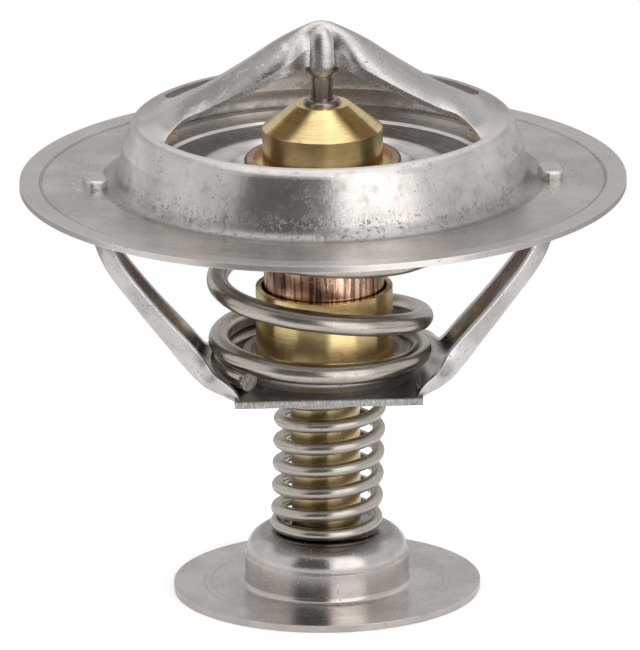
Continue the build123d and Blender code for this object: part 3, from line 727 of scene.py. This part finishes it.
# ---------------------------------------------------------------------- stage
FLOOR_RADIUS = 0.085
FLOOR_DROP = 0.00005        # keeps the floor clear of the disc that stands on it
SHADOW_FROM, SHADOW_TO = 0.017, 0.036   # where the glow rises, from the axis
SHADOW_GLOW, OPEN_GLOW = 0.44, 0.9
MIRRORED_GLOW = 0.3         # share of the glow that metal mirrors, so that it sees white too


def make_floor():
    """Pale disc with the object's shadow, lifted to white away from it."""
    bpy.ops.mesh.primitive_circle_add(
        vertices=96, radius=FLOOR_RADIUS, fill_type="NGON", location=(0, 0, -FLOOR_DROP)
    )
    floor = bpy.context.object
    floor.name = "floor"
    mat = bpy.data.materials.new("floor_white")
    mat.use_nodes = True
    nodes = mat.node_tree.nodes
    tree = Tree(mat.node_tree)
    bsdf = nodes["Principled BSDF"]
    bsdf.inputs["Base Color"].default_value = (0.86, 0.86, 0.86, 1)
    bsdf.inputs["Roughness"].default_value = 0.9
    bsdf.inputs["Specular IOR Level"].default_value = 0.1
    away = tree.add("ShaderNodeVectorMath", operation="LENGTH")
    tree.join(tree.add("ShaderNodeTexCoord").outputs["Object"], away.inputs[0])
    ramp = tree.add("ShaderNodeMapRange")
    levels = away.outputs["Value"], SHADOW_FROM, SHADOW_TO, SHADOW_GLOW, OPEN_GLOW
    tree.join_all(levels, ramp.inputs)
    path = tree.add("ShaderNodeLightPath").outputs
    mirrored = tree.calc("ADD", path["Is Glossy Ray"], path["Is Transmission Ray"], clamp=True)
    rays = tree.plus(tree.times(mirrored, MIRRORED_GLOW), path["Is Camera Ray"])
    glow = tree.add("ShaderNodeEmission")
    glow.inputs["Color"].default_value = (1, 1, 1, 1)
    tree.join(tree.times(rays, ramp.outputs[0]), glow.inputs["Strength"])
    both = tree.add("ShaderNodeAddShader")
    tree.join_all((bsdf.outputs[0], glow.outputs[0]), both.inputs)
    tree.join(both.outputs[0], nodes["Material Output"].inputs["Surface"])
    floor.data.materials.append(mat)


# Panels of the room that the metal mirrors: left, right, bottom and top of each
# in degrees, how soft its sides are, and what it adds to the room's level.
ROOM = (
    # Below the horizon: front left, front right, left, and the two back quarters.
    (-43, 7, -55, -14, 3, -0.32),
    (12, 51, -55, -14, 3, 1.00),
    (-89, -47, -55, -14, 5, 0.32),
    (-181, -97, -32, -14, 6, -0.24),
    (101, 181, -32, -14, 6, -0.24),
    # Above it: front left, front right, the back, left and right.
    (-46, 3, -3, 44, 7, -0.48),
    (9, 52, -3, 60, 7, 1.05),
    (-181, -150, 8, 30, 12, -0.04),
    (150, 181, 8, 30, 12, -0.04),
    (-140, -56, -3, 40, 8, 0.20),
    (62, 140, -3, 40, 8, 0.16),
    # Overhead, and underneath.
    (-181, 181, 60, 91, 5, 0.80),
    (-181, 181, -91, -42, 5, 0.38),
)
ROOM_LEVEL = 0.62   # light that the world sends from every side
PANEL_FADE = 10     # softness of a panel's top and bottom, in degrees


def make_world():
    """White behind the object, plain soft light on it, a calmer room in its reflections."""
    world = bpy.data.worlds.new("studio")
    scene.world = world
    world.use_nodes = True
    world.node_tree.nodes.clear()
    tree = Tree(world.node_tree)
    x, y, z = tree.unpack(tree.add("ShaderNodeTexCoord").outputs["Generated"])
    degrees = 180 / math.pi
    azimuth = tree.times(tree.calc("ARCTAN2", x, tree.times(y, -1)), degrees)
    elevation = tree.times(tree.calc("ARCSINE", z), degrees)

    def panel(left, right, bottom, top, soft):
        """1 inside a panel of directions. Azimuth 0 is the front, 90 the right."""
        across = tree.band(azimuth, left, right, soft)
        return tree.times(across, tree.band(elevation, bottom, top, PANEL_FADE))

    room = ROOM_LEVEL
    for *sides, amount in ROOM:
        room = tree.plus(room, tree.times(panel(*sides), amount))
    path = tree.add("ShaderNodeLightPath").outputs
    level = tree.choose(path["Is Glossy Ray"], ROOM_LEVEL, room)
    seen = tree.calc("ADD", path["Is Camera Ray"], path["Is Transmission Ray"], clamp=True)
    level = tree.choose(seen, level, 1.0)
    back = tree.add("ShaderNodeBackground")
    back.inputs["Color"].default_value = (1, 1, 1, 1)
    tree.join(level, back.inputs["Strength"])
    tree.join(back.outputs[0], tree.add("ShaderNodeOutputWorld").inputs[0])


LAMPS_AIM_Z = 0.035


def from_front(azimuth, elevation):
    """Direction from the object. Azimuth 0 is the front, 90 the right."""
    a, e = math.radians(azimuth), math.radians(elevation)
    return Vector((math.sin(a) * math.cos(e), -math.cos(a) * math.cos(e), math.sin(e)))


def make_lamp(name, azimuth, elevation, away, wide, high, watts):
    """Soft square lamp that the camera and the metal don't see."""
    lamp = bpy.data.lights.new(name, "AREA")
    lamp.shape = "RECTANGLE"
    lamp.size = wide
    lamp.size_y = high
    lamp.energy = watts
    piece = bpy.data.objects.new(name, lamp)
    scene.collection.objects.link(piece)
    middle = Vector((0, 0, LAMPS_AIM_Z))
    piece.location = middle + away * from_front(azimuth, elevation)
    piece.rotation_euler = (middle - piece.location).to_track_quat("-Z", "Y").to_euler()
    piece.visible_camera = False
    piece.visible_glossy = False


def make_camera():
    """Long lens, 17 degrees above the horizon, framed for 640 x 650 pixels."""
    mm_per_pixel = 0.1105
    width_px, axis_px = 640, 324.5
    aim_z, elevation, roll = 30.28, 17.05, -0.6
    away = 2.75
    sensor_mm = 36
    target = Vector(((width_px / 2 - axis_px) * mm_per_pixel, 0, aim_z)) / 1000
    data = bpy.data.cameras.new("camera")
    data.sensor_fit = "HORIZONTAL"
    data.sensor_width = sensor_mm
    data.lens = sensor_mm * away * 1000 / (width_px * mm_per_pixel)
    data.clip_start = 0.1
    data.clip_end = 50
    data.dof.use_dof = False
    piece = bpy.data.objects.new("camera", data)
    scene.collection.objects.link(piece)
    piece.location = target + away * from_front(0, elevation)
    look = (target - piece.location).to_track_quat("-Z", "Y").to_matrix().to_4x4()
    piece.rotation_euler = (look @ Matrix.Rotation(math.radians(roll), 4, "Z")).to_euler()
    scene.camera = piece


make_floor()
make_world()
make_lamp("key", 30, 40, 0.6, 0.30, 0.30, 0.75)
make_lamp("top", 0, 80, 0.6, 0.45, 0.45, 0.6)
make_lamp("fill", -60, 30, 0.7, 0.35, 0.35, 0.4)
make_camera()
scene.view_settings.view_transform = "Standard"
